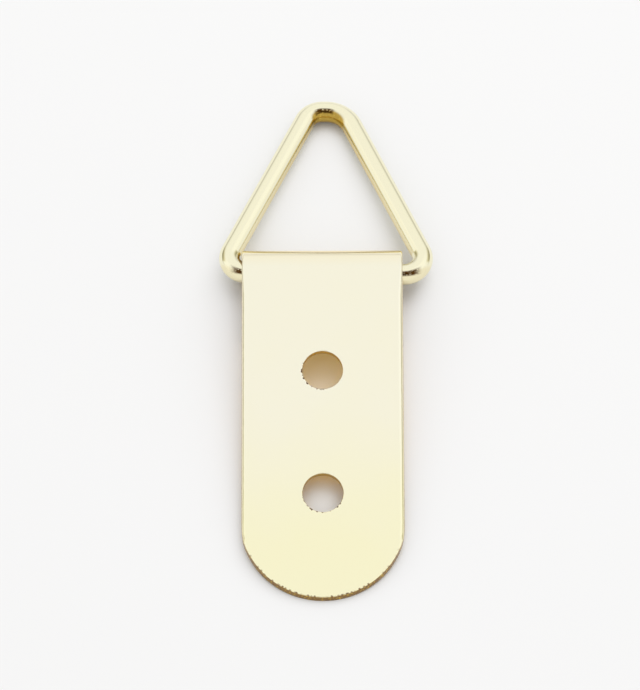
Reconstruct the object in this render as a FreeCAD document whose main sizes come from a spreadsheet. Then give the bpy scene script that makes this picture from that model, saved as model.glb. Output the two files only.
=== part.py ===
import FreeCAD, Part
import math
import os
import Sketcher

# A two-hole strap hanger with a triangle ring, lying on its back as it does on a table.
# X runs across the strap, Y up the strap towards the ring, Z out of the front face.
# The origin is the middle of the return tab's flat underside.
SIZES = [
    ("strap_width", 16.0, "width of the strip"),
    ("sheet_thickness", 0.75, "thickness of the strip"),
    ("leaf_length", 34.9, "flat leaf, from the start of the fold to the tip"),
    ("tab_length", 6.5, "return tab, from the end of the fold to its cut end"),
    ("end_bulge", 0.18, "radius of the rounded end beyond half the strip width"),
    ("hole_diameter", 4.0, "punched screw hole"),
    ("hole_spacing", 12.86, "centre to centre of the two screw holes"),
    ("hole_to_tip", 10.98, "centre of the lower screw hole to the tip"),
    ("edge_roll", 0.2, "rounding left by the shear on the front edges"),
    ("rim_roll", 0.07, "rounding left by the punch on the front rims of the holes"),
    ("wire_diameter", 2.1, "wire of the ring"),
    ("loop_clearance", 0.6, "space all round the wire inside the fold"),
    ("bar_lift", 0.7, "space between the bar and the tab it lies over"),
    ("bar_advance", 0.06, "bar axis ahead of the fold axis, towards the ring"),
    ("ring_overhang", 2.7, "ring beyond each edge of the strap"),
    ("ring_height", 19.485, "bar axis to the wire axis at the apex"),
    ("corner_bend", 1.9, "bend radius of the wire axis at the right lower corner"),
    ("left_corner_bend", 1.75, "bend radius of the wire axis at the left lower corner"),
    ("apex_bend", 2.94, "bend radius of the wire axis at the apex"),
    ("apex_lean", 0.217, "apex to the left of the bar's middle, as the wire was bent"),
    ("wire_gap", 0.5, "gap between the two wire ends inside the fold"),
    ("wire_end_bevel", 0.2, "bevel on the two cut wire ends"),
    ("ring_shift", 0.36, "ring to the right of the strap's middle, as it was laid down"),
    ("ring_skew", 0.9, "turn of the ring in the fold, in degrees, as it was laid down"),
]

doc = FreeCAD.newDocument("triangle_ring_hanger")
sheet = doc.addObject("Spreadsheet::Sheet", "Sizes")
for row, (alias, number, meaning) in enumerate(SIZES, start=1):
    sheet.set(f"A{row}", alias)
    sheet.set(f"B{row}", str(number))
    sheet.set(f"C{row}", meaning)
    sheet.setAlias(f"B{row}", alias)
doc.recompute()

# Sizes that follow from the driving ones.
LOOP_INSIDE = "(Sizes.wire_diameter / 2 + Sizes.loop_clearance)"
LOOP_OUTSIDE = f"({LOOP_INSIDE} + Sizes.sheet_thickness)"
END_RADIUS = "(Sizes.strap_width / 2 + Sizes.end_bulge)"
# The leaf leans on its tip while the tab lies flat: its slope closes that triangle.
LEAF_SLOPE = (f"(asin({LOOP_OUTSIDE} / sqrt(Sizes.leaf_length ^ 2 + {LOOP_INSIDE} ^ 2))"
              f" + atan({LOOP_INSIDE} / Sizes.leaf_length))")
FOLD_AXIS_Y = "(Sizes.tab_length / 2)"
BAR_HEIGHT = "(Sizes.sheet_thickness + Sizes.bar_lift + Sizes.wire_diameter / 2)"
# The ring drops about its bar until the apex touches the table.
RING_DROP = f"asin(({BAR_HEIGHT} - Sizes.wire_diameter / 2) / Sizes.ring_height)"
BAR_REACH = "(Sizes.strap_width / 2 + Sizes.ring_overhang - Sizes.wire_diameter / 2)"

START, END, CENTRE = range(1, 4)
X_AXIS, Y_AXIS = range(-1, -3, -1)
ORIGIN = (X_AXIS, START)


def origin_plane(body, role):
    return next(f for f in body.Origin.OriginFeatures if f.Role == role)


def new_sketch(body, name, role):
    sketch = body.newObject("Sketcher::SketchObject", name)
    sketch.AttachmentSupport = [(origin_plane(body, role), "")]
    sketch.MapMode = "FlatFace"
    return sketch


def point(x, y):
    return FreeCAD.Vector(x, y, 0)


def line(sketch, first, last):
    return sketch.addGeometry(Part.LineSegment(first, last), False)


def arc(sketch, centre, radius, from_angle, to_angle):
    circle = Part.Circle(centre, FreeCAD.Vector(0, 0, 1), radius)
    return sketch.addGeometry(Part.ArcOfCircle(circle, from_angle, to_angle), False)


def hold(sketch, kind, *terms):
    sketch.addConstraint(Sketcher.Constraint(kind, *terms))


def size(sketch, name, expression, kind, *terms):
    index = sketch.addConstraint(Sketcher.Constraint(kind, *terms))
    sketch.renameConstraint(index, name)
    sketch.setExpression(f"Constraints.{name}", expression)


# Strap: drawn with its leaf level and the fold axis through its own origin.
strap = doc.addObject("PartDesign::Body", "hanger_strap")
strap.Label = "hanger_strap"

loop_in = sheet.wire_diameter / 2 + sheet.loop_clearance
loop_out = loop_in + sheet.sheet_thickness
slope = math.asin(loop_out / math.hypot(sheet.leaf_length, loop_in)) + math.atan(loop_in / sheet.leaf_length)
tab_out = point(-math.sin(slope), -math.cos(slope))
tab_run = point(-math.cos(slope), math.sin(slope)) * sheet.tab_length
tip_y = -sheet.leaf_length

# Edge-on section of the strip: leaf, fold and tab.
section = new_sketch(strap, "strip_section", "YZ_Plane")
leaf_front = line(section, point(tip_y, loop_out), point(0, loop_out))
fold_outside = arc(section, point(0, 0), loop_out, -math.pi / 2 - slope, math.pi / 2)
tab_under = line(section, tab_out * loop_out, tab_out * loop_out + tab_run)
tab_end = line(section, tab_out * loop_out + tab_run, tab_out * loop_in + tab_run)
tab_top = line(section, tab_out * loop_in + tab_run, tab_out * loop_in)
fold_inside = arc(section, point(0, 0), loop_in, -math.pi / 2 - slope, math.pi / 2)
leaf_back = line(section, point(0, loop_in), point(tip_y, loop_in))
leaf_end = line(section, point(tip_y, loop_in), point(tip_y, loop_out))
hold(section, "Coincident", fold_outside, CENTRE, *ORIGIN)
hold(section, "Coincident", fold_inside, CENTRE, *ORIGIN)
hold(section, "Tangent", leaf_front, END, fold_outside, END)
hold(section, "Tangent", fold_outside, START, tab_under, START)
hold(section, "Coincident", tab_under, END, tab_end, START)
hold(section, "Coincident", tab_end, END, tab_top, START)
hold(section, "Tangent", tab_top, END, fold_inside, START)
hold(section, "Tangent", fold_inside, END, leaf_back, START)
hold(section, "Coincident", leaf_back, END, leaf_end, START)
hold(section, "Coincident", leaf_end, END, leaf_front, START)
hold(section, "Horizontal", leaf_front)
hold(section, "Horizontal", leaf_back)
hold(section, "Vertical", leaf_end)
hold(section, "Parallel", tab_under, tab_top)
hold(section, "Perpendicular", tab_under, tab_end)
size(section, "inside_radius", LOOP_INSIDE, "Radius", fold_inside, loop_in)
size(section, "outside_radius", LOOP_OUTSIDE, "Radius", fold_outside, loop_out)
size(section, "tab_direction", f"180 deg - {LEAF_SLOPE}", "Angle", tab_under, math.pi - slope)
size(section, "tab_run", "Sizes.tab_length", "Distance", tab_under, sheet.tab_length)
size(section, "leaf_run", "Sizes.leaf_length", "DistanceX", leaf_front, START, *ORIGIN, sheet.leaf_length)

strip = strap.newObject("PartDesign::Pad", "folded_strip")
strip.Profile = section
strip.SideType = "Symmetric"
strip.setExpression("Length", "Sizes.strap_width")
doc.recompute()

# Rounded lower end: everything outside the arc is trimmed off the leaf.
end_radius = sheet.strap_width / 2 + sheet.end_bulge
end_y = tip_y + end_radius
past_tip = tip_y - sheet.sheet_thickness
trim = new_sketch(strap, "end_outline", "XY_Plane")
round_end = arc(trim, point(0, end_y), end_radius, math.pi, 2 * math.pi)
right_side = line(trim, point(end_radius, end_y), point(end_radius, past_tip))
far_side = line(trim, point(end_radius, past_tip), point(-end_radius, past_tip))
left_side = line(trim, point(-end_radius, past_tip), point(-end_radius, end_y))
hold(trim, "Coincident", round_end, END, right_side, START)
hold(trim, "Coincident", right_side, END, far_side, START)
hold(trim, "Coincident", far_side, END, left_side, START)
hold(trim, "Coincident", left_side, END, round_end, START)
hold(trim, "Vertical", right_side)
hold(trim, "Vertical", left_side)
hold(trim, "Horizontal", far_side)
hold(trim, "PointOnObject", round_end, CENTRE, Y_AXIS)
hold(trim, "Horizontal", round_end, CENTRE, round_end, END)
hold(trim, "Horizontal", round_end, CENTRE, round_end, START)
size(trim, "end_radius", END_RADIUS, "Radius", round_end, end_radius)
size(trim, "end_centre", f"Sizes.leaf_length - {END_RADIUS}",
     "DistanceY", round_end, CENTRE, *ORIGIN, -end_y)
size(trim, "past_tip", f"{END_RADIUS} + Sizes.sheet_thickness", "Distance", right_side, end_y - past_tip)

rounding = strap.newObject("PartDesign::Pocket", "rounded_end")
rounding.Profile = trim
rounding.Type = "ThroughAll"
rounding.Reversed = True
doc.recompute()

# Two punched screw holes on the middle line of the leaf.
punch = new_sketch(strap, "hole_outline", "XY_Plane")
lower_y = tip_y + sheet.hole_to_tip
upper_y = lower_y + sheet.hole_spacing
rim = FreeCAD.Vector(0, 0, 1)
lower_hole = punch.addGeometry(Part.Circle(point(0, lower_y), rim, sheet.hole_diameter / 2), False)
upper_hole = punch.addGeometry(Part.Circle(point(0, upper_y), rim, sheet.hole_diameter / 2), False)
hold(punch, "PointOnObject", lower_hole, CENTRE, Y_AXIS)
hold(punch, "PointOnObject", upper_hole, CENTRE, Y_AXIS)
hold(punch, "Equal", lower_hole, upper_hole)
size(punch, "hole_radius", "Sizes.hole_diameter / 2", "Radius", lower_hole, sheet.hole_diameter / 2)
size(punch, "lower_place", "Sizes.leaf_length - Sizes.hole_to_tip",
     "DistanceY", lower_hole, CENTRE, *ORIGIN, -lower_y)
size(punch, "spacing", "Sizes.hole_spacing",
     "DistanceY", lower_hole, CENTRE, upper_hole, CENTRE, sheet.hole_spacing)

holes = strap.newObject("PartDesign::Pocket", "screw_holes")
holes.Profile = punch
holes.Type = "ThroughAll"
holes.Reversed = True
doc.recompute()


def front_faces(shape, distance):
    """Faces of the strip's outer skin: leaf front, outside of the fold and tab underside."""
    skin = []
    for face in shape.Faces:
        surface = face.Surface
        if isinstance(surface, Part.Plane):
            level = abs(surface.Position.dot(surface.Axis))
            if abs(surface.Axis.x) < 1e-6 and abs(level - distance) < 1e-6:
                skin.append(face)
        elif isinstance(surface, Part.Cylinder):
            if abs(surface.Axis.z) < 1e-6 and abs(surface.Radius - distance) < 1e-6:
                skin.append(face)
    return skin


def skin_edges(shape, distance):
    """Names and edges that bound the strip's outer skin."""
    skin = front_faces(shape, distance)
    found = []
    for number, edge in enumerate(shape.Edges, start=1):
        owners = [face for face in skin if any(edge.isSame(other) for other in face.Edges)]
        if len(owners) == 1:
            found.append((f"Edge{number}", edge))
    return found


def is_rim(edge):
    return isinstance(edge.Curve, Part.Circle) and abs(edge.Curve.Radius - sheet.hole_diameter / 2) < 1e-6


# The tools round the edges on the front: a little at the hole rims, more round the outline.
rims = strap.newObject("PartDesign::Fillet", "rolled_rims")
rims.Base = (holes, [name for name, edge in skin_edges(holes.Shape, loop_out) if is_rim(edge)])
rims.setExpression("Radius", "Sizes.rim_roll")
doc.recompute()
front_rim = sheet.hole_diameter / 2 + sheet.rim_roll
outline = []
for name, edge in skin_edges(rims.Shape, loop_out):
    if not (isinstance(edge.Curve, Part.Circle) and abs(edge.Curve.Radius - front_rim) < 1e-6):
        outline.append(name)
rolling = strap.newObject("PartDesign::Fillet", "rolled_edges")
rolling.Base = (rims, outline)
rolling.setExpression("Radius", "Sizes.edge_roll")
strap.Tip = rolling
strap.setExpression(
    "Placement",
    f"placement(vector(0; {FOLD_AXIS_Y}; {LOOP_OUTSIDE}); rotation(vector(1; 0; 0); {LEAF_SLOPE}))")
doc.recompute()

# Ring: drawn flat with the bar on its own X axis and the apex towards Y.
ring = doc.addObject("PartDesign::Body", "triangle_ring")
ring.Label = "triangle_ring"

right_bend = sheet.corner_bend
left_bend = sheet.left_corner_bend
apex_bend = sheet.apex_bend
half_gap = sheet.wire_gap / 2
bar_reach = sheet.strap_width / 2 + sheet.ring_overhang - sheet.wire_diameter / 2
right_centre = point(bar_reach - right_bend, right_bend)
left_centre = point(left_bend - bar_reach, left_bend)
apex_centre = point(-sheet.apex_lean, sheet.ring_height - apex_bend)


def leg_facing(corner_centre, bend):
    """Angle that a leg faces, square to the line that touches its corner and the apex."""
    run = apex_centre - corner_centre
    return math.atan2(run.y, -abs(run.x)) - math.acos((bend - apex_bend) / run.Length)


right_facing = leg_facing(right_centre, right_bend)
left_facing = math.pi - leg_facing(left_centre, left_bend)
out_right = point(math.cos(right_facing), math.sin(right_facing))
out_left = point(math.cos(left_facing), math.sin(left_facing))

bend_line = new_sketch(ring, "wire_path", "XY_Plane")
right_bar = line(bend_line, point(half_gap, 0), point(right_centre.x, 0))
right_corner = arc(bend_line, right_centre, right_bend, -math.pi / 2, right_facing)
right_leg = line(bend_line, right_centre + out_right * right_bend, apex_centre + out_right * apex_bend)
apex_arc = arc(bend_line, apex_centre, apex_bend, right_facing, left_facing)
left_leg = line(bend_line, apex_centre + out_left * apex_bend, left_centre + out_left * left_bend)
left_corner = arc(bend_line, left_centre, left_bend, left_facing, 3 * math.pi / 2)
left_bar = line(bend_line, point(left_centre.x, 0), point(-half_gap, 0))
hold(bend_line, "PointOnObject", right_bar, START, X_AXIS)
hold(bend_line, "PointOnObject", left_bar, END, X_AXIS)
hold(bend_line, "Horizontal", right_bar)
hold(bend_line, "Horizontal", left_bar)
hold(bend_line, "Tangent", right_bar, END, right_corner, START)
hold(bend_line, "Tangent", right_corner, END, right_leg, START)
hold(bend_line, "Tangent", right_leg, END, apex_arc, START)
hold(bend_line, "Tangent", apex_arc, END, left_leg, START)
hold(bend_line, "Tangent", left_leg, END, left_corner, START)
hold(bend_line, "Tangent", left_corner, END, left_bar, START)
size(bend_line, "right_bend", "Sizes.corner_bend", "Radius", right_corner, right_bend)
size(bend_line, "left_bend", "Sizes.left_corner_bend", "Radius", left_corner, left_bend)
size(bend_line, "apex_bend", "Sizes.apex_bend", "Radius", apex_arc, apex_bend)
size(bend_line, "apex_lean", "Sizes.apex_lean", "DistanceX", apex_arc, CENTRE, *ORIGIN, sheet.apex_lean)
size(bend_line, "apex_centre", "Sizes.ring_height - Sizes.apex_bend",
     "DistanceY", *ORIGIN, apex_arc, CENTRE, apex_centre.y)
size(bend_line, "right_centre", f"{BAR_REACH} - Sizes.corner_bend",
     "DistanceX", *ORIGIN, right_corner, CENTRE, right_centre.x)
size(bend_line, "left_centre", f"{BAR_REACH} - Sizes.left_corner_bend",
     "DistanceX", left_corner, CENTRE, *ORIGIN, -left_centre.x)
size(bend_line, "right_end", "Sizes.wire_gap / 2", "DistanceX", *ORIGIN, right_bar, START, half_gap)
size(bend_line, "left_end", "Sizes.wire_gap / 2", "DistanceX", left_bar, END, *ORIGIN, half_gap)

wire = new_sketch(ring, "wire_section", "YZ_Plane")
wire.setExpression("AttachmentOffset.Base.z", "Sizes.wire_gap / 2")
rod = wire.addGeometry(Part.Circle(point(0, 0), rim, sheet.wire_diameter / 2), False)
hold(wire, "Coincident", rod, CENTRE, *ORIGIN)
size(wire, "wire_radius", "Sizes.wire_diameter / 2", "Radius", rod, sheet.wire_diameter / 2)
doc.recompute()

bent_wire = ring.newObject("PartDesign::AdditivePipe", "bent_wire")
bent_wire.Profile = wire
bent_wire.Spine = (bend_line, [f"Edge{number}" for number in range(1, 8)])
doc.recompute()

# The wire is cropped to length, so both ends carry a small bevel.
cut_rims = []
for number, edge in enumerate(bent_wire.Shape.Edges, start=1):
    middle = edge.CenterOfMass
    if abs(abs(middle.x) - half_gap) < 1e-6 and abs(middle.y) < sheet.wire_diameter:
        cut_rims.append(f"Edge{number}")
bevel = ring.newObject("PartDesign::Chamfer", "cropped_ends")
bevel.Base = (bent_wire, cut_rims)
bevel.setExpression("Size", "Sizes.wire_end_bevel")
ring.Tip = bevel
ring.setExpression(
    "Placement",
    f"placement(vector(Sizes.ring_shift; {FOLD_AXIS_Y} + Sizes.bar_advance; {BAR_HEIGHT});"
    f" rotation(vector(0; 0; 1); -Sizes.ring_skew) * rotation(vector(1; 0; 0); -{RING_DROP}))")
doc.recompute()

for item in doc.Objects:
    for state in ("Invalid", "Error"):
        if state in item.State:
            raise RuntimeError(f"{item.Name} is {state}")
stages = [feature.Shape.Volume for feature in (strip, rounding, holes, rims, rolling)]
if not all(before > after for before, after in zip(stages, stages[1:])):
    raise RuntimeError("a cut in the strap took nothing away")

os.makedirs("parts", exist_ok=True)
for piece in (strap, ring):
    if piece.Shape.isNull() or not piece.Shape.isValid():
        raise RuntimeError(f"{piece.Label} is not a sound solid")
    piece.Shape.exportStep(f"parts/{piece.Label}.step")
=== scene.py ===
import math

import bmesh
import bpy
from mathutils import Matrix, Vector, noise


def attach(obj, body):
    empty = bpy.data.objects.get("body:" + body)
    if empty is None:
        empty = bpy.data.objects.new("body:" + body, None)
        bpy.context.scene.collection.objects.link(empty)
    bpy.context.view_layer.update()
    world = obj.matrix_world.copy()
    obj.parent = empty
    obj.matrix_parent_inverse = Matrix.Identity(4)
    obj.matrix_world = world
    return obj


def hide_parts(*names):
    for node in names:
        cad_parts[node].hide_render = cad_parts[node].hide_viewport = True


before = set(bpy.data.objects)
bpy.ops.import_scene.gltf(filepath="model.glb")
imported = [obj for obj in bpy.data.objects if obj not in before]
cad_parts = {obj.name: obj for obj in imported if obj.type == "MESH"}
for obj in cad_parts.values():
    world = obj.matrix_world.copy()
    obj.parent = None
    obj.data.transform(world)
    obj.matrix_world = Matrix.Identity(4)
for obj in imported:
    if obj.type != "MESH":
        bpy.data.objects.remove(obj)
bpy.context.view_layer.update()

# Hanger strap: one strip of mild steel sheet, blanked with its round end and two
# screw holes in one stroke, folded back round the bar of the ring, then brass plated.
# The punch leaves a rolled front edge, a torn wall and a fine burr at the back.
MM = 0.001
STRIP_WIDTH = 16.0 * MM
SHEET = 0.75 * MM
LEAF_LENGTH = 34.9 * MM
TAB_LENGTH = 6.5 * MM
END_RADIUS = 8.18 * MM
SHOULDER_EASE = 1.4 * MM
HOLE_RADIUS = 2.0 * MM
LOWER_HOLE = 10.98 * MM
UPPER_HOLE = 23.84 * MM
FOLD_INSIDE = 1.65 * MM
FOLD_OUTSIDE = FOLD_INSIDE + SHEET
LEAN = (math.asin(FOLD_OUTSIDE / math.hypot(LEAF_LENGTH, FOLD_INSIDE))
        + math.atan(FOLD_INSIDE / LEAF_LENGTH))
FOLD_SWEEP = math.pi + LEAN
FOLD_RUN = FOLD_SWEEP * (FOLD_INSIDE + FOLD_OUTSIDE) / 2
FOLD_AXIS = (0.0, TAB_LENGTH / 2, FOLD_OUTSIDE)
BLANK_LENGTH = LEAF_LENGTH + FOLD_RUN + TAB_LENGTH

# How the strap's edges are rolled, torn and nicked.
SIDE_ROLL = 0.45 * MM
FOLD_ROLL = 0.2 * MM
TIP_ROLL = 0.07 * MM
RIM_ROLL = 0.07 * MM
ROLL_CHANGE = 3.0 * MM
TIP_BREAK = 0.16 * MM
FACE_MARGIN = 1.2 * MM
ROLL_LIP = 0.02 * MM
ROLL_STEPS = 7
# Painted shade: how far the roll takes on the deeper gold where it turns into the wall.
ROLL_SHADE = 0.9
TIP_ROLL_POWER, TIP_BREAK_POWER = 12, 6
TEAR_START = 0.85
OUTLINE_TEAR, OUTLINE_SEED = 0.9, 2.0
RIM_TEAR, RIM_SEED = 0.45, 31.0
WALL_SHARES = (0.84, 0.66, 0.5, 0.33, 0.15)
# Burr levels: inset, height, tear and painted shade; the back face gets the full deeper gold as
# painted shade.
BURR_LEVELS = ((0.02 * MM, -0.01 * MM, 0.6, 1.0), (0.07 * MM, 0.0, 0.2, 1.0),
               (0.3 * MM, 0.0, 0.0, 1.0))
NICKED_LEVELS = range(1, 9)
WAVY_LEVELS = range(2, 8)
WAVE_PITCH = 0.45 * MM
WAVE_SHARE = 0.2
WAVE_LIMIT = 0.11 * MM
NICK_PITCH = 0.16 * MM
NICK_FLOOR = 0.08
NICK_FULL = 0.03 * MM
NICK_SEED_STEP = 9.0
TIP_NICK, LOWER_RIM_NICK, UPPER_RIM_NICK = 0.12 * MM, 0.22 * MM, 0.16 * MM
GRIT_PITCH = 0.12 * MM
GRIT_SEED_STEP = 0.35
TEAR_GRIT = 0.012 * MM
TEAR_WAVE = 0.010 * MM

# Painted shade round the fold, a deeper gold over its back: its most, and the turn where it
# starts and its span.
FOLD_SHADES = ((0.5, 0.7, 0.4), (0.13, 0.0, 0.6))

# How finely the blank is divided.
LEAF_ROWS, FOLD_ROWS, TAB_ROWS = 80, 60, 16
ACROSS_STEPS, TIP_STEPS, RIM_STEPS = 40, 130, 160
FIRST_BAND = LEAF_ROWS - 2


def clamp(value):
    return min(1.0, max(0.0, value))


def spread(first, last, count):
    return [first + (last - first) * step / count for step in range(count + 1)]


def blank_outline():
    """Flat blank, anticlockwise: place, outward direction, edge roll and wall slope."""
    half = STRIP_WIDTH / 2
    turn = math.asin(half / END_RADIUS)
    kink = math.pi / 2 - turn
    shoulder = END_RADIUS - math.sqrt(END_RADIUS ** 2 - half ** 2)
    rows = spread(shoulder, LEAF_LENGTH, LEAF_ROWS)
    rows += spread(LEAF_LENGTH, LEAF_LENGTH + FOLD_RUN, FOLD_ROWS)[1:]
    rows += spread(LEAF_LENGTH + FOLD_RUN, BLANK_LENGTH, TAB_ROWS)[1:]

    def eased(x, v):
        near = max(0.0, SHOULDER_EASE - math.hypot(half - abs(x), v - shoulder))
        return x - math.copysign(kink * near ** 2 / (4 * SHOULDER_EASE), x)

    right = []
    for v in rows:
        bent = clamp((v - LEAF_LENGTH) / ROLL_CHANGE + 1)
        roll = SIDE_ROLL + (FOLD_ROLL - SIDE_ROLL) * bent
        right.append((eased(half, v), v, 1.0, float(v == BLANK_LENGTH), roll, 0.0))
    across = [(x, BLANK_LENGTH, 0.0, 1.0, FOLD_ROLL, 0.0)
              for x in spread(half, -half, ACROSS_STEPS)[1:-1]]
    left = [(-x, v, -nx, nv, roll, slope) for x, v, nx, nv, roll, slope in reversed(right)]
    tip = []
    for share in spread(-1.0, 1.0, TIP_STEPS)[1:-1]:
        x = END_RADIUS * math.sin(turn * share)
        v = END_RADIUS * (1 - math.cos(turn * share))
        facing = math.pi / 2 * share
        roll = TIP_ROLL + (SIDE_ROLL - TIP_ROLL) * share ** TIP_ROLL_POWER
        slope = TIP_BREAK * (1 - share ** TIP_BREAK_POWER)
        tip.append((eased(x, v), v, math.sin(facing), -math.cos(facing), roll, slope))
    return right + across + left + tip, len(rows)


def hole_outline(place):
    """Points of one punched hole; the outward direction points into the hole."""
    points = []
    for step in range(RIM_STEPS):
        angle = -math.tau * step / RIM_STEPS
        x, v = math.cos(angle), math.sin(angle)
        points.append((HOLE_RADIUS * x, place + HOLE_RADIUS * v, -x, -v, RIM_ROLL, 0.0))
    return points


def edge_levels(roll, wall_tear):
    """Inset, height, tear and painted shade of an edge, from the front face to the back."""
    levels = [(FACE_MARGIN, SHEET, 0.0, 0.0), (ROLL_LIP + 1.3 * roll, SHEET, 0.0, 0.0)]
    for angle in spread(0.0, math.pi / 2, ROLL_STEPS):
        start = max(0.0, math.sin(angle) - TEAR_START) / (1 - TEAR_START)
        levels.append((roll * (1 - math.sin(angle)), SHEET - roll * (1 - math.cos(angle)),
                       wall_tear * start, ROLL_SHADE * start))
    for share in WALL_SHARES:
        levels.append((0.0, (SHEET - roll) * share, wall_tear, 1.0))
    return levels + list(BURR_LEVELS)


def noise_at(x, v, pitch, seed):
    return noise.noise(Vector((x / pitch, v / pitch, seed)))


def edge_rings(mesh, marks, outline, wall_tear, nick_depth, seed):
    """Rings of points that carry one outline over its edge, with the punch's torn places and
    painted shade.
    """
    torn, gold_shade = marks
    columns = []
    for x, v, nx, nv, roll, slope in outline:
        coarse = noise_at(x, v, WAVE_PITCH, seed)
        wave = WAVE_SHARE * min(roll, WAVE_LIMIT) * coarse
        nick = max(0.0, noise_at(x, v, NICK_PITCH, seed + NICK_SEED_STEP) - NICK_FLOOR)
        nick *= nick_depth(nx, nv)
        # Painted shade: the fold's back takes a deeper gold, as do the cut walls and the back
        # face.
        turn = FOLD_SWEEP * (v - LEAF_LENGTH) / FOLD_RUN
        fold_shade = sum(most * clamp((turn - start) / span) for most, start, span in FOLD_SHADES)
        column = []
        for level, (inset, height, tear, tone) in enumerate(edge_levels(roll, wall_tear)):
            fine = noise_at(x, v, GRIT_PITCH, seed + level * GRIT_SEED_STEP)
            if level in WAVY_LEVELS:
                inset += wave
            if level in NICKED_LEVELS:
                inset += nick
                tear = max(tear, clamp(nick / NICK_FULL) * (level > 1))
            if level > 0:
                inset += slope * height / SHEET
            inwards = inset + tear * (TEAR_GRIT * fine + TEAR_WAVE * coarse)
            vert = mesh.verts.new((x - nx * inwards, v - nv * inwards, height))
            vert[torn] = tear
            vert[gold_shade] = max(tone, fold_shade)
            column.append(vert)
        columns.append(column)
    for one, two in zip(columns, columns[1:] + columns[:1]):
        for level in range(len(one) - 1):
            mesh.faces.new((one[level], one[level + 1], two[level + 1], two[level]))
    return list(zip(*columns))


def fill_side(mesh, outer, holes, row_count):
    """One flat side of the blank: bands across the fold, triangles round the holes."""
    outer, holes = list(outer), [list(ring) for ring in holes]
    tip_start = len(outer) - (TIP_STEPS - 1)
    right = outer[:row_count]
    across = outer[row_count:tip_start - row_count]
    left = outer[tip_start - row_count:tip_start][::-1]
    tip = outer[tip_start:]
    for row in range(FIRST_BAND, row_count - 2):
        mesh.faces.new((right[row], right[row + 1], left[row + 1], left[row]))
    mesh.faces.new([right[-2], right[-1], *across, left[-1], left[-2]])
    border = right[FIRST_BAND::-1] + tip[::-1] + left[:FIRST_BAND + 1]
    edges = []
    for one, two in zip(border, border[1:] + border[:1]):
        edges.append(mesh.edges.get((one, two)) or mesh.edges.new((one, two)))
    for ring in holes:
        for one, two in zip(ring, ring[1:] + ring[:1]):
            edges.append(mesh.edges.get((one, two)))
    bmesh.ops.triangle_fill(mesh, use_beauty=True, use_dissolve=False, edges=edges)


def tip_nicks(nx, nv):
    return TIP_NICK * max(0.0, -nv)


def lower_rim_nicks(nx, nv):
    return LOWER_RIM_NICK * max(0.0, nv)


def upper_rim_nicks(nx, nv):
    return UPPER_RIM_NICK * max(0.0, nv + nx)


blank = bmesh.new()
marks = [blank.verts.layers.float.new(name) for name in ("tears_and_painted_reflection", "painted_gold_shade")]
outline, row_count = blank_outline()
outer_rings = edge_rings(blank, marks, outline, OUTLINE_TEAR, tip_nicks, OUTLINE_SEED)
hole_rings = [edge_rings(blank, marks, hole_outline(place), RIM_TEAR, nicks, RIM_SEED)
              for place, nicks in ((LOWER_HOLE, lower_rim_nicks), (UPPER_HOLE, upper_rim_nicks))]
for side in (0, -1):
    fill_side(blank, outer_rings[side], [rings[side] for rings in hole_rings], row_count)
bmesh.ops.recalc_face_normals(blank, faces=blank.faces)
for face in blank.faces:
    face.smooth = True
blank_mesh = bpy.data.meshes.new("strap_blank")
blank.to_mesh(blank_mesh)
blank.free()
strap = bpy.data.objects.new("plated_strap", blank_mesh)
bpy.context.scene.collection.objects.link(strap)


def feed(tree, socket, term):
    """Links a term to a socket, or sets the socket where the term is a plain value."""
    if isinstance(term, bpy.types.NodeSocket):
        tree.links.new(term, socket)
    else:
        socket.default_value = term


def calc(tree, operation, *terms):
    """One Math node; each term is a socket or a plain number."""
    node = tree.nodes.new("ShaderNodeMath")
    node.operation = operation
    for socket, term in zip(node.inputs, terms):
        feed(tree, socket, term)
    return node.outputs[0]


def product(tree, first, *others):
    for other in others:
        first = calc(tree, "MULTIPLY", first, other)
    return first


def blend(tree, share, first, second):
    """Mix of two colours, each a socket or plain values."""
    node = tree.nodes.new("ShaderNodeMix")
    node.data_type = "RGBA"
    for name, term in (("Factor", share), ("A", first), ("B", second)):
        feed(tree, node.inputs[name], term)
    return node.outputs["Result"]


def ramp(tree, value, low, high):
    """0 at low, 1 at high, smooth between them; low may be the larger."""
    node = tree.nodes.new("ShaderNodeMapRange")
    node.interpolation_type = "SMOOTHSTEP"
    tree.links.new(value, node.inputs["Value"])
    node.inputs["From Min"].default_value = low
    node.inputs["From Max"].default_value = high
    return node.outputs["Result"]


def parts(tree, vector):
    """X, Y and Z of a vector."""
    node = tree.nodes.new("ShaderNodeSeparateXYZ")
    tree.links.new(vector, node.inputs[0])
    return node.outputs


def add_sockets(tree, direction, kind, *names):
    for name in names:
        tree.interface.new_socket(name, in_out=direction, socket_type="NodeSocket" + kind)


def add_noise(tree, place, scale, detail):
    node = tree.nodes.new("ShaderNodeTexNoise")
    node.inputs["Scale"].default_value = scale
    node.inputs["Detail"].default_value = detail
    tree.links.new(place, node.inputs["Vector"])
    return node.outputs["Fac"]


CLOUD_SCALE, CLOUD_DETAIL, CLOUD_CONTRAST = 130.0, 2.0, 0.5
GRAIN_SCALE, GRAIN_DETAIL = 5200.0, 3.0
WARM_DRIFT = (-8.7 * MM, -28.5 * MM)
TORN_GRAIN = (0.2, 0.5)
GRAIN_DULLS, TEAR_DULLS = 0.05, 0.12
BUMP_STRENGTH, BUMP_HEIGHT = 0.5, 0.03 * MM


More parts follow.
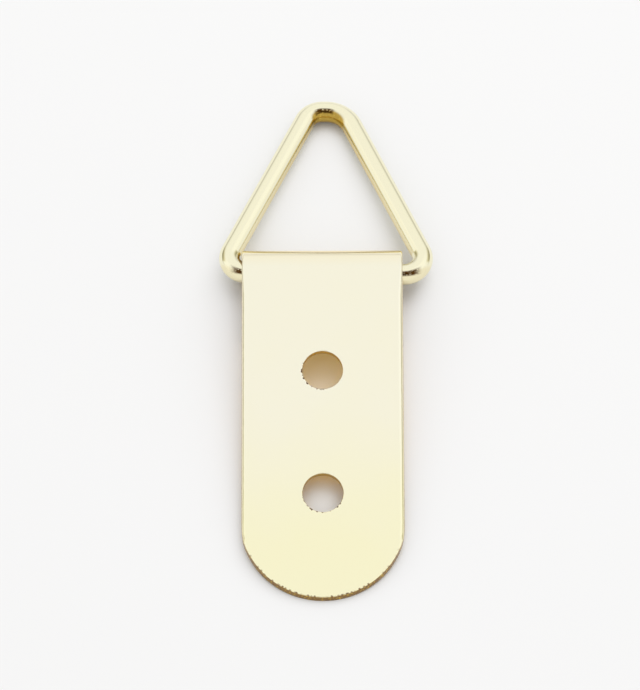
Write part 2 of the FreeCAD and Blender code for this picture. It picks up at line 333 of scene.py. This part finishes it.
def plating_group():
    """Plating tint, gloss, grain: pale faces, painted gold shade, dark torn places, painted
    camera reflection.
    """
    group = bpy.data.node_groups.new("bright_plating", "ShaderNodeTree")
    add_sockets(group, "INPUT", "Color", "Pale Tone", "Warm Tone", "Painted Shade Tone", "Tears And Painted Reflection Tone")
    add_sockets(group, "INPUT", "Float", "Painted Shade", "Tears And Painted Reflection", "Gloss Loss")
    add_sockets(group, "OUTPUT", "Color", "Color")
    add_sockets(group, "OUTPUT", "Float", "Roughness", "Height")
    given = group.nodes.new("NodeGroupInput").outputs
    result = group.nodes.new("NodeGroupOutput").inputs
    place = group.nodes.new("ShaderNodeTexCoord").outputs["Object"]
    cloud = add_noise(group, place, CLOUD_SCALE, CLOUD_DETAIL)
    grain = add_noise(group, place, GRAIN_SCALE, GRAIN_DETAIL)
    drift = ramp(group, parts(group, place)["Y"], *WARM_DRIFT)
    uneven = calc(group, "SUBTRACT", cloud, 0.5)
    patchy = calc(group, "MULTIPLY_ADD", uneven, CLOUD_CONTRAST, drift)
    tint = blend(group, patchy, given["Pale Tone"], given["Warm Tone"])
    # Painted shade: a deeper gold where the metal faces shade and mirrors its own gold.
    tint = blend(group, given["Painted Shade"], tint, given["Painted Shade Tone"])
    # Torn places on the strap, and on the ring a painted dark reflection of the camera.
    tears_and_reflection = product(group, given["Tears And Painted Reflection"], ramp(group, grain, *TORN_GRAIN))
    rough = calc(group, "MULTIPLY_ADD", grain, GRAIN_DULLS, given["Gloss Loss"])
    rough = calc(group, "MULTIPLY_ADD", given["Tears And Painted Reflection"], TEAR_DULLS, rough)
    group.links.new(blend(group, tears_and_reflection, tint, given["Tears And Painted Reflection Tone"]), result["Color"])
    group.links.new(rough, result["Roughness"])
    group.links.new(product(group, grain, given["Tears And Painted Reflection"]), result["Height"])
    return group


plating = plating_group()


def plated_material(name, tones, gloss_loss):
    """Brass plating with a piece's own tones; its mesh carries torn places, painted shade and
    painted reflection.
    """
    material = bpy.data.materials.new(name)
    material.use_nodes = True
    tree = material.node_tree
    shader = tree.nodes["Principled BSDF"]
    shader.inputs["Metallic"].default_value = 1.0
    surface = tree.nodes.new("ShaderNodeGroup")
    surface.node_tree = plating
    for socket, tone in tones.items():
        surface.inputs[socket].default_value = (*tone, 1.0)
    surface.inputs["Gloss Loss"].default_value = gloss_loss
    for mark, socket in (("painted_gold_shade", "Painted Shade"), ("tears_and_painted_reflection", "Tears And Painted Reflection")):
        reader = tree.nodes.new("ShaderNodeAttribute")
        reader.attribute_name = mark
        tree.links.new(reader.outputs["Fac"], surface.inputs[socket])
    bump = tree.nodes.new("ShaderNodeBump")
    bump.inputs["Strength"].default_value = BUMP_STRENGTH
    bump.inputs["Distance"].default_value = BUMP_HEIGHT
    tree.links.new(surface.outputs["Height"], bump.inputs["Height"])
    tree.links.new(bump.outputs["Normal"], shader.inputs["Normal"])
    tree.links.new(surface.outputs["Color"], shader.inputs["Base Color"])
    tree.links.new(surface.outputs["Roughness"], shader.inputs["Roughness"])
    return material


# The strap's deeper gold is painted shade; its dark torn colour is the torn walls' own.
strap_plating = plated_material("strap_plating", {
    "Pale Tone": (0.955, 0.92, 0.745), "Warm Tone": (0.965, 0.925, 0.63),
    "Painted Shade Tone": (0.96, 0.66, 0.09), "Tears And Painted Reflection Tone": (0.189, 0.096, 0.053)}, 0.10)


def end_tree(tree, shape, finish, result):
    """Last steps of a tree: real geometry, its finish and the output."""
    real = tree.nodes.new("GeometryNodeRealizeInstances")
    tree.links.new(shape, real.inputs["Geometry"])
    paint = tree.nodes.new("GeometryNodeSetMaterial")
    tree.links.new(real.outputs[0], paint.inputs["Geometry"])
    tree.links.new(finish, paint.inputs["Material"])
    tree.links.new(paint.outputs[0], result)


def fold_tree():
    """Folds the flat blank round the bar and leans the leaf down to the table."""
    tree = bpy.data.node_groups.new("fold_strip", "GeometryNodeTree")
    add_sockets(tree, "INPUT", "Geometry", "Blank")
    add_sockets(tree, "INPUT", "Float",
                "Leaf Length", "Fold Radius", "Fold Sweep", "Fold Run", "Lean")
    add_sockets(tree, "INPUT", "Vector", "Fold Axis")
    add_sockets(tree, "INPUT", "Material", "Finish")
    add_sockets(tree, "OUTPUT", "Geometry", "Strap")
    given = tree.nodes.new("NodeGroupInput").outputs
    result = tree.nodes.new("NodeGroupOutput").inputs
    flat = parts(tree, tree.nodes.new("GeometryNodeInputPosition").outputs[0])
    past = calc(tree, "SUBTRACT", flat["Y"], given["Leaf Length"])
    before = calc(tree, "MINIMUM", past, 0.0)
    after = calc(tree, "MAXIMUM", calc(tree, "SUBTRACT", past, given["Fold Run"]), 0.0)
    share = calc(tree, "MAXIMUM", calc(tree, "DIVIDE", past, given["Fold Run"]), 0.0)
    turn = product(tree, calc(tree, "MINIMUM", share, 1.0), given["Fold Sweep"])
    radius = calc(tree, "ADD", given["Fold Radius"], flat["Z"])
    sine, cosine = calc(tree, "SINE", turn), calc(tree, "COSINE", turn)
    run_y = calc(tree, "MULTIPLY_ADD", radius, sine, before)
    run_y = calc(tree, "MULTIPLY_ADD", after, cosine, run_y)
    run_z = calc(tree, "SUBTRACT", product(tree, radius, cosine), product(tree, after, sine))
    folded = tree.nodes.new("ShaderNodeCombineXYZ")
    for socket, term in zip(folded.inputs, (flat["X"], run_y, run_z)):
        tree.links.new(term, socket)
    bend = tree.nodes.new("GeometryNodeSetPosition")
    tree.links.new(given["Blank"], bend.inputs["Geometry"])
    tree.links.new(folded.outputs[0], bend.inputs["Position"])
    tilt = tree.nodes.new("ShaderNodeCombineXYZ")
    tree.links.new(given["Lean"], tilt.inputs["X"])
    lay = tree.nodes.new("GeometryNodeTransform")
    tree.links.new(bend.outputs[0], lay.inputs["Geometry"])
    tree.links.new(tilt.outputs[0], lay.inputs["Rotation"])
    tree.links.new(given["Fold Axis"], lay.inputs["Translation"])
    end_tree(tree, lay.outputs[0], given["Finish"], result["Strap"])
    return tree


def shape_by(piece, tree, values):
    """Runs a tree on a piece with these inputs and keeps the result as its plain mesh."""
    step = piece.modifiers.new(tree.name, "NODES")
    step.node_group = tree
    for item in tree.interface.items_tree:
        if item.in_out == "INPUT" and item.name in values:
            step[item.identifier] = values[item.name]
    made = bpy.data.meshes.new_from_object(
        piece.evaluated_get(bpy.context.evaluated_depsgraph_get()))
    piece.modifiers.remove(step)
    piece.data = made


shape_by(strap, fold_tree(), {
    "Leaf Length": LEAF_LENGTH, "Fold Radius": FOLD_INSIDE, "Fold Sweep": FOLD_SWEEP,
    "Fold Run": FOLD_RUN, "Lean": LEAN, "Fold Axis": FOLD_AXIS, "Finish": strap_plating})
even = strap.modifiers.new("even_shading", "WEIGHTED_NORMAL")
even.weight = 90
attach(strap, "strap")
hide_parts("hanger_strap")

# Triangle ring: one length of round drawn steel wire, bent over pins into a triangle
# and brass plated. Its cropped ends meet in the middle of the bar, inside the fold,
# so the ring swings but cannot come out. Its corners and apex carry a painted camera reflection.
WIRE_RADIUS = 1.05 * MM
WIRE_SIDES = 64
WIRE_GAP = 0.5 * MM
END_BEVEL = 0.2 * MM
BEND_STEPS = 40
RIGHT_BEND = 1.9 * MM
LEFT_BEND = 1.75 * MM
RIGHT_APEX_BEND = 2.94 * MM
LEFT_APEX_BEND = 2.0 * MM
RIGHT_APEX_PLACE = -0.217 * MM
LEFT_APEX_PLACE = -0.54 * MM
RING_HEIGHT = 19.485 * MM
RING_OVERHANG = 2.7 * MM
BAR_PLACE = (0.36 * MM, TAB_LENGTH / 2 + 0.06 * MM, SHEET + 0.7 * MM + WIRE_RADIUS)
RING_SKEW = math.radians(0.9)
RING_DROP = math.asin((BAR_PLACE[2] - WIRE_RADIUS) / RING_HEIGHT)

# Where the ring gets painted shade and a painted camera reflection: places in the ring's own
# plane, and how far the wire's surface there faces the bar. Each pair runs from none to all.
BAR_GOLD_SHADE, LEG_GOLD_SHADE, APEX_GOLD_SHADE = 0.2, 0.35, 0.45
UNDER_FACING = (-0.30, -0.48)
LEG_RISE = (0.5 * MM, 2.5 * MM)
APEX_RISE = (9 * MM, 17 * MM)
INSIDE_REFLECTION = 0.35
INSIDE_FACING = (-0.2, -0.5)
INSIDE_RISE = (17.2 * MM, 18.4 * MM)
FRONT_UPPER_FACING = (-0.2, -0.3)
FRONT_LOWER_FACING = (-0.7, -0.6)
CORNER_RISE = (1.6 * MM, 0.6 * MM)
CORNER_REACH = (9.7 * MM, 8.8 * MM)
TOP_RISE = (18.2 * MM, 18.6 * MM)
TOP_MIDDLE = -0.38 * MM
TOP_REACH = (1.3 * MM, 0.6 * MM)


def leg_line(bend, apex_bend, apex_place):
    """Facing of one leg and its distance from the bar's middle, as the right-hand leg."""
    corner_x = STRIP_WIDTH / 2 + RING_OVERHANG - WIRE_RADIUS - bend
    across, climb = apex_place - corner_x, RING_HEIGHT - apex_bend - bend
    opening = math.acos((bend - apex_bend) / math.hypot(across, climb))
    facing = math.atan2(climb, across) - opening
    return facing, math.cos(facing) * corner_x + math.sin(facing) * bend + bend


pins = []
for side, bend, apex_bend, apex_place in (
        (1, RIGHT_BEND, RIGHT_APEX_BEND, RIGHT_APEX_PLACE),
        (-1, LEFT_BEND, LEFT_APEX_BEND, -LEFT_APEX_PLACE)):
    facing, reach = leg_line(bend, apex_bend, apex_place)
    foot_x = reach / math.cos(facing)
    apex_x = (reach - math.sin(facing) * RING_HEIGHT) / math.cos(facing)
    leg = [(side * foot_x, 0, bend, 1), (side * apex_x, RING_HEIGHT, apex_bend, 1)]
    pins += leg[::side]
for side in (1, -1):
    ends = [(side * WIRE_GAP / 2, 0, 0, 1 - END_BEVEL / WIRE_RADIUS),
            (side * (WIRE_GAP / 2 + END_BEVEL), 0, 0, 1)]
    pins = ends + pins if side > 0 else pins + ends[::-1]
pin_mesh = bpy.data.meshes.new("ring_pins")
pin_mesh.from_pydata([pin[:2] + (0,) for pin in pins],
                     [(n, n + 1) for n in range(len(pins) - 1)], [])
for column, name in ((2, "pin_radius"), (3, "wire_share")):
    values = pin_mesh.attributes.new(name, "FLOAT", "POINT").data
    values.foreach_set("value", [pin[column] for pin in pins])
ring = bpy.data.objects.new("plated_ring", pin_mesh)
bpy.context.scene.collection.objects.link(ring)
# The ring's deeper gold is painted shade and its dark tone is a painted reflection of the camera.
ring_plating = plated_material("ring_plating", {
    "Pale Tone": (0.94, 0.90, 0.66), "Warm Tone": (0.94, 0.88, 0.60),
    "Painted Shade Tone": (0.66, 0.45, 0.09), "Tears And Painted Reflection Tone": (0.085, 0.034, 0.004)}, 0.08)


def read_mark(tree, name):
    node = tree.nodes.new("GeometryNodeInputNamedAttribute")
    node.inputs["Name"].default_value = name
    return node.outputs["Attribute"]


def store_mark(tree, shape, name, value):
    node = tree.nodes.new("GeometryNodeStoreNamedAttribute")
    node.inputs["Name"].default_value = name
    tree.links.new(shape, node.inputs["Geometry"])
    tree.links.new(value, node.inputs["Value"])
    return node.outputs[0]


def wire_tree():
    """Bends a wire over the pins and sweeps its round section along it."""
    tree = bpy.data.node_groups.new("bent_wire", "GeometryNodeTree")
    add_sockets(tree, "INPUT", "Geometry", "Pins")
    add_sockets(tree, "INPUT", "Float", "Wire Radius")
    add_sockets(tree, "INPUT", "Int", "Wire Sides", "Bend Steps")
    add_sockets(tree, "INPUT", "Material", "Finish")
    add_sockets(tree, "OUTPUT", "Geometry", "Ring")
    given = tree.nodes.new("NodeGroupInput").outputs
    result = tree.nodes.new("NodeGroupOutput").inputs
    path = tree.nodes.new("GeometryNodeMeshToCurve")
    tree.links.new(given["Pins"], path.inputs["Mesh"])
    bend = tree.nodes.new("GeometryNodeFilletCurve")
    bend.mode = "POLY"
    tree.links.new(path.outputs[0], bend.inputs["Curve"])
    tree.links.new(given["Bend Steps"], bend.inputs["Count"])
    tree.links.new(read_mark(tree, "pin_radius"), bend.inputs["Radius"])
    section = tree.nodes.new("GeometryNodeCurvePrimitiveCircle")
    tree.links.new(given["Wire Sides"], section.inputs["Resolution"])
    tree.links.new(given["Wire Radius"], section.inputs["Radius"])
    sweep = tree.nodes.new("GeometryNodeCurveToMesh")
    sweep.inputs["Fill Caps"].default_value = True
    tree.links.new(bend.outputs[0], sweep.inputs["Curve"])
    tree.links.new(section.outputs[0], sweep.inputs["Profile Curve"])
    tree.links.new(read_mark(tree, "wire_share"), sweep.inputs["Scale"])

    facing = parts(tree, tree.nodes.new("GeometryNodeInputNormal").outputs[0])["Y"]
    place = parts(tree, tree.nodes.new("GeometryNodeInputPosition").outputs[0])
    rise, across = place["Y"], place["X"]
    gold_shade_share = calc(tree, "MULTIPLY_ADD", ramp(tree, rise, *LEG_RISE), LEG_GOLD_SHADE, BAR_GOLD_SHADE)
    gold_shade_share = calc(tree, "MULTIPLY_ADD", ramp(tree, rise, *APEX_RISE), APEX_GOLD_SHADE, gold_shade_share)
    # Painted shade: a deeper gold on the side of the wire that faces the bar, more up the legs
    # and at the apex.
    gold_shade = product(tree, ramp(tree, facing, *UNDER_FACING), gold_shade_share)
    inside = product(tree, ramp(tree, facing, *INSIDE_FACING), ramp(tree, rise, *INSIDE_RISE))
    front = product(tree, ramp(tree, facing, *FRONT_UPPER_FACING),
                    ramp(tree, facing, *FRONT_LOWER_FACING))
    from_middle = calc(tree, "ABSOLUTE", across)
    corner = product(tree, ramp(tree, rise, *CORNER_RISE), ramp(tree, from_middle, *CORNER_REACH))
    from_top = calc(tree, "ABSOLUTE", calc(tree, "SUBTRACT", across, TOP_MIDDLE))
    top = product(tree, ramp(tree, rise, *TOP_RISE), ramp(tree, from_top, *TOP_REACH))
    # Painted reflection of the camera: dark marks inside the apex and on the front of the corners
    # and apex top.
    painted_camera_reflection = calc(tree, "MAXIMUM", product(tree, inside, INSIDE_REFLECTION),
                  product(tree, front, calc(tree, "MAXIMUM", corner, top)))
    wire = store_mark(tree, sweep.outputs[0], "painted_gold_shade", gold_shade)
    wire = store_mark(tree, wire, "tears_and_painted_reflection", painted_camera_reflection)
    smooth = tree.nodes.new("GeometryNodeSetShadeSmooth")
    tree.links.new(wire, smooth.inputs["Geometry"])
    end_tree(tree, smooth.outputs[0], given["Finish"], result["Ring"])
    return tree


shape_by(ring, wire_tree(), {
    "Wire Radius": WIRE_RADIUS, "Wire Sides": WIRE_SIDES, "Bend Steps": BEND_STEPS,
    "Finish": ring_plating})
ring.data.transform(Matrix.Translation(BAR_PLACE) @ Matrix.Rotation(-RING_SKEW, 4, "Z")
                    @ Matrix.Rotation(-RING_DROP, 4, "X"))
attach(ring, "ring")
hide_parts("triangle_ring")

# Table: a plain pale matt sheet that the hanger lies on. Where it is open to the sky it
# is lifted towards white for what the camera and the bright metal see of it, so the
# background is white and the hanger's own shadow stays.
TABLE_HALF = 2.0
TABLE_DROP = 0.02 * MM
PAPER_WHITE = 0.785
SKY_REACH = 7.0 * MM
OPEN_SKY = (0.34, 0.76)
LIFT_SHARE = 0.42
LIFT_WHITE = 0.94

corners = [(x * TABLE_HALF, y * TABLE_HALF, -TABLE_DROP)
           for x, y in ((-1, -1), (1, -1), (1, 1), (-1, 1))]
floor_mesh = bpy.data.meshes.new("table_sheet")
floor_mesh.from_pydata(corners, [], [(0, 1, 2, 3)])
table = bpy.data.objects.new("table_sheet", floor_mesh)
bpy.context.scene.collection.objects.link(table)
table_paper = bpy.data.materials.new("table_paper")
table_paper.use_nodes = True
sheet = table_paper.node_tree
paper = sheet.nodes["Principled BSDF"]
seen = sheet.nodes.new("ShaderNodeLightPath").outputs
open_sky = sheet.nodes.new("ShaderNodeAmbientOcclusion")
open_sky.inputs["Distance"].default_value = SKY_REACH
mirrored = calc(sheet, "MAXIMUM", seen["Is Glossy Ray"], seen["Is Transmission Ray"])
rays = calc(sheet, "MAXIMUM", seen["Is Camera Ray"], mirrored)
lift = product(sheet, ramp(sheet, open_sky.outputs["AO"], *OPEN_SKY), LIFT_SHARE, rays)
whiteness = product(sheet, calc(sheet, "SUBTRACT", 1.0, lift), PAPER_WHITE)
sheet.links.new(whiteness, paper.inputs["Base Color"])
sheet.links.new(product(sheet, lift, LIFT_WHITE), paper.inputs["Emission Strength"])
paper.inputs["Emission Color"].default_value = (1.0, 1.0, 1.0, 1.0)
paper.inputs["Roughness"].default_value = 1.0
paper.inputs["Specular IOR Level"].default_value = 0.0
floor_mesh.materials.append(table_paper)

# Studio: a white tent all round, a little darker low down at the back and at the sides,
# with two brighter panels and the dark shape of the camera, and a soft lamp high on the
# right. A small warm lamp is the light that the leaf's brass back throws on the paper.
TENT_LEVEL = 0.965
REAR_SHADE, FLANK_SHADE, SIDE_SHADE = 0.2, 0.26, 0.35
REAR_LOW, REAR_BACK = (0.3, 0.0), (-0.05, 0.12)
FLANK_LOW, FLANK_BACK, FLANK_ASIDE = (0.5, 0.12), (0.1, 0.5), (0.15, 0.4)
SIDE_LOW, SIDE_BACK, SIDE_ASIDE = (0.7, 0.25), (0.14, 0.32), (0.45, 0.85)
PANEL_WAYS = ((0.57, 0.16, 0.80), (-0.84, 0.01, 0.53))
PANEL_EDGE = (0.84, 0.97)
PANEL_GLOW = 0.07
WHITE_CLOTH = (1.0, 1.0, 1.0, 1.0)
WARM_CLOTH = (1.0, 0.93, 0.66, 1.0)
CAMERA_BROWN = (0.085, 0.036, 0.007, 1.0)
CAMERA_BELOW = (math.radians(15), math.radians(21))
CAMERA_ABOVE = (math.radians(40), math.radians(34))
CAMERA_WIDE = (0.25, 0.14)
LAMP_PLACE = (0.138, 0.269, 0.46)
LAMP_WIDTH, LAMP_WATTS = 0.5, 1.2
BOUNCE_PLACE = (0.0, -9.7 * MM, 2.45 * MM)
BOUNCE_WIDTH, BOUNCE_LENGTH, BOUNCE_WATTS = 13 * MM, 18 * MM, 0.000175
BOUNCE_GOLD = (1.0, 0.60, 0.03)

world = bpy.data.worlds.new("white_tent")
world.use_nodes = True
bpy.context.scene.world = world
tent = world.node_tree
sky = tent.nodes["Background"]
heading = tent.nodes.new("ShaderNodeTexCoord").outputs["Generated"]
way = parts(tent, heading)
aside = calc(tent, "ABSOLUTE", way["X"])
down = calc(tent, "ARCTAN2", product(tent, way["Y"], -1.0), way["Z"])
camera_shape = product(tent, ramp(tent, down, *CAMERA_BELOW), ramp(tent, down, *CAMERA_ABOVE),
                       ramp(tent, aside, *CAMERA_WIDE))
rear = product(tent, ramp(tent, way["Z"], *REAR_LOW), ramp(tent, way["Y"], *REAR_BACK))
flank = product(tent, ramp(tent, way["Z"], *FLANK_LOW), ramp(tent, way["Y"], *FLANK_BACK),
                ramp(tent, aside, *FLANK_ASIDE))
sides = product(tent, ramp(tent, way["Z"], *SIDE_LOW), ramp(tent, aside, *SIDE_ASIDE),
                ramp(tent, way["Y"], *SIDE_BACK))
shade = calc(tent, "MAXIMUM", product(tent, rear, REAR_SHADE), product(tent, flank, FLANK_SHADE))
level = calc(tent, "SUBTRACT", TENT_LEVEL, shade)
level = calc(tent, "MULTIPLY_ADD", sides, -SIDE_SHADE, level)
for panel_way in PANEL_WAYS:
    near = tent.nodes.new("ShaderNodeVectorMath")
    near.operation = "DOT_PRODUCT"
    tent.links.new(heading, near.inputs[0])
    near.inputs[1].default_value = panel_way
    panel = ramp(tent, near.outputs["Value"], *PANEL_EDGE)
    level = calc(tent, "MULTIPLY_ADD", panel, PANEL_GLOW, level)
cloth = blend(tent, sides, WHITE_CLOTH, WARM_CLOTH)
tent.links.new(blend(tent, camera_shape, cloth, CAMERA_BROWN), sky.inputs["Color"])
tent.links.new(level, sky.inputs["Strength"])


def area_lamp(name, shape, watts, place):
    """A lamp that lights the scene and isn't mirrored in the metal."""
    lamp = bpy.data.objects.new(name, bpy.data.lights.new(name, "AREA"))
    lamp.data.shape = shape
    lamp.data.energy = watts
    lamp.location = place
    lamp.visible_glossy = False
    bpy.context.scene.collection.objects.link(lamp)
    return lamp


soft_lamp = area_lamp("soft_lamp", "DISK", LAMP_WATTS, LAMP_PLACE)
soft_lamp.data.size = LAMP_WIDTH
soft_lamp.rotation_euler = soft_lamp.location.to_track_quat("Z", "Y").to_euler()

gold_bounce = area_lamp("gold_bounce", "RECTANGLE", BOUNCE_WATTS, BOUNCE_PLACE)
gold_bounce.data.size = BOUNCE_WIDTH
gold_bounce.data.size_y = BOUNCE_LENGTH
gold_bounce.data.color = BOUNCE_GOLD
gold_bounce.rotation_euler = (LEAN, 0.0, 0.0)
gold_bounce.visible_camera = False

# Camera: a long lens above the hanger's lower end, looking down on it.
CAMERA_DISTANCE = 0.6
CAMERA_TILT = math.radians(27.558)
CAMERA_ROLL = math.radians(-0.196)
CAMERA_AIM = Vector((-0.242, -3.413, 0.0)) * MM

camera_data = bpy.data.cameras.new("photo_camera")
camera_data.sensor_width = 36.0
camera_data.lens = 313.9
camera = bpy.data.objects.new("photo_camera", camera_data)
bpy.context.scene.collection.objects.link(camera)
outwards = Vector((0, -math.sin(CAMERA_TILT), math.cos(CAMERA_TILT)))
camera.location = CAMERA_AIM + CAMERA_DISTANCE * outwards
camera.rotation_euler = (Matrix.Rotation(CAMERA_TILT, 3, "X")
                         @ Matrix.Rotation(CAMERA_ROLL, 3, "Z")).to_euler()
bpy.context.scene.camera = camera
bpy.context.scene.view_settings.view_transform = "Standard"
